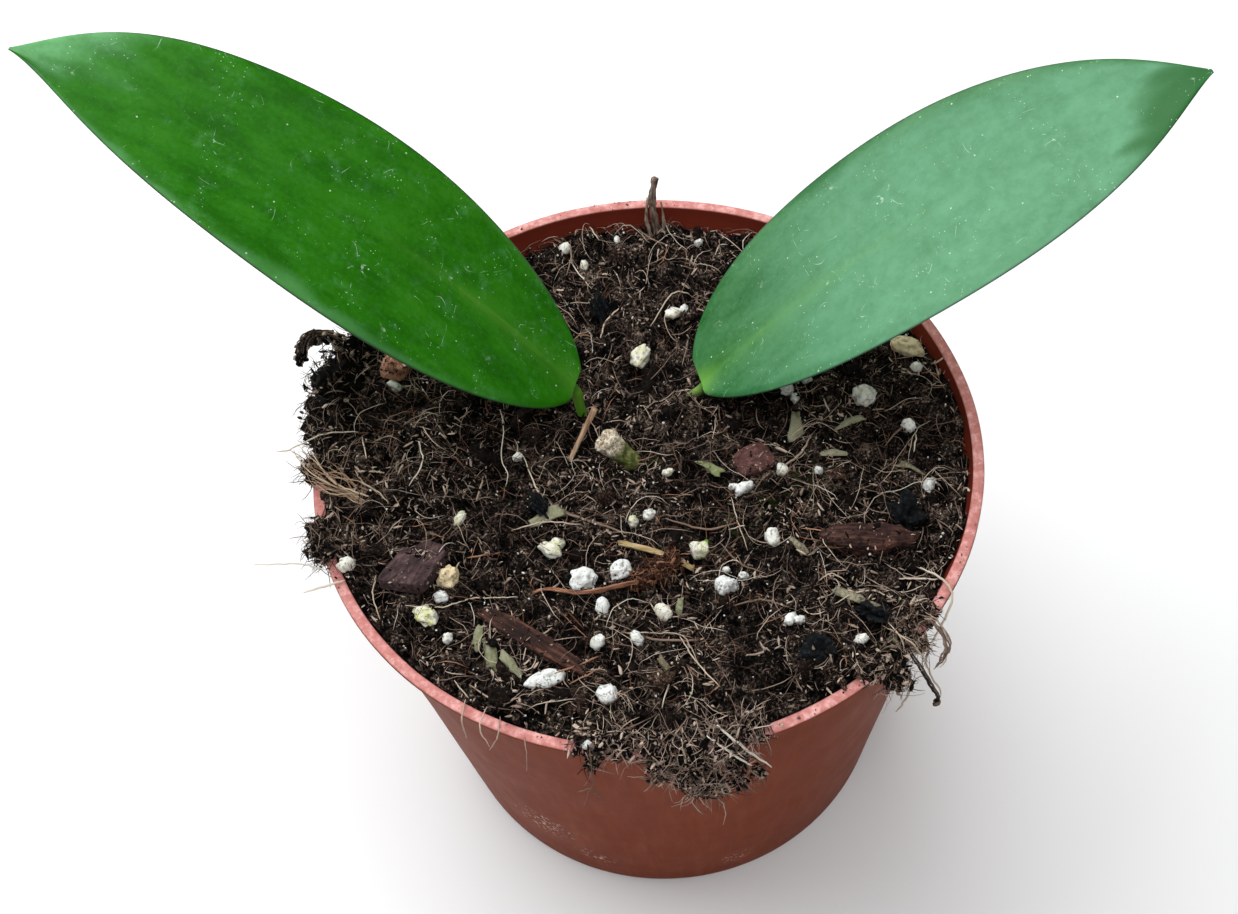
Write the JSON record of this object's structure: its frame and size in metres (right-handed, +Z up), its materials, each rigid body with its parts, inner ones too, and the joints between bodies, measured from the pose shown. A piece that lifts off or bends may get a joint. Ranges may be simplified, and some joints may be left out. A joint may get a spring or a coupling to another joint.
{
  "type": "potted hoya australis",
  "caption": "Hoya australis cutting with two long glossy leaves, in a terracotta-brown plastic nursery pot filled past its rim with peat, perlite and bark.",
  "frame": {"origin": "middle of the flat disc under the pot, on the surface that the pot stands on", "axes": "+Z up along the pot's axis; +X towards the tip of the right leaf as the picture shows it, -X towards the left leaf's tip; -Y towards the viewer"},
  "size_m": [0.1707, 0.1107, 0.1424],
  "materials": {
    "pot_plastic": "satin",
    "peat_soil": "matte",
    "leaf_left_green": "satin",
    "leaf_right_green": "satin",
    "stem_green": "matte",
    "dark_bark": "matte",
    "pink_bark": "matte",
    "red_bark": "matte",
    "brown_bark": "matte",
    "rotten_wood": "matte",
    "pale_husk": "matte",
    "tan_grain": "matte",
    "algae_perlite": "matte",
    "yellow_perlite": "matte",
    "white_perlite": "matte",
    "tan_straw": "matte",
    "pale_straw": "matte",
    "orange_root": "matte",
    "grey_twig": "matte"
  },
  "bodies": {
    "root": {"pot": "pot_plastic", "soil": "peat_soil", "leaf_left": "leaf_left_green", "leaf_right": "leaf_right_green", "stem": "stem_green", "bark_dark": "dark_bark", "bark_pink": "pink_bark", "bark_red": "red_bark", "bark_strip": "brown_bark", "wood_piece": "rotten_wood", "husk": "pale_husk", "grain_tan": "tan_grain", "perlite_green": "algae_perlite", "perlite_back": "yellow_perlite", "perlite_right": "white_perlite", "perlite_centre": "white_perlite", "perlite_middle": "white_perlite", "perlite_front": "white_perlite", "shell_flake": "white_perlite", "perlite_white": "white_perlite", "stick": "tan_straw", "straw": "pale_straw", "root": "orange_root", "twig": "grey_twig"}
  },
  "joints": []
}
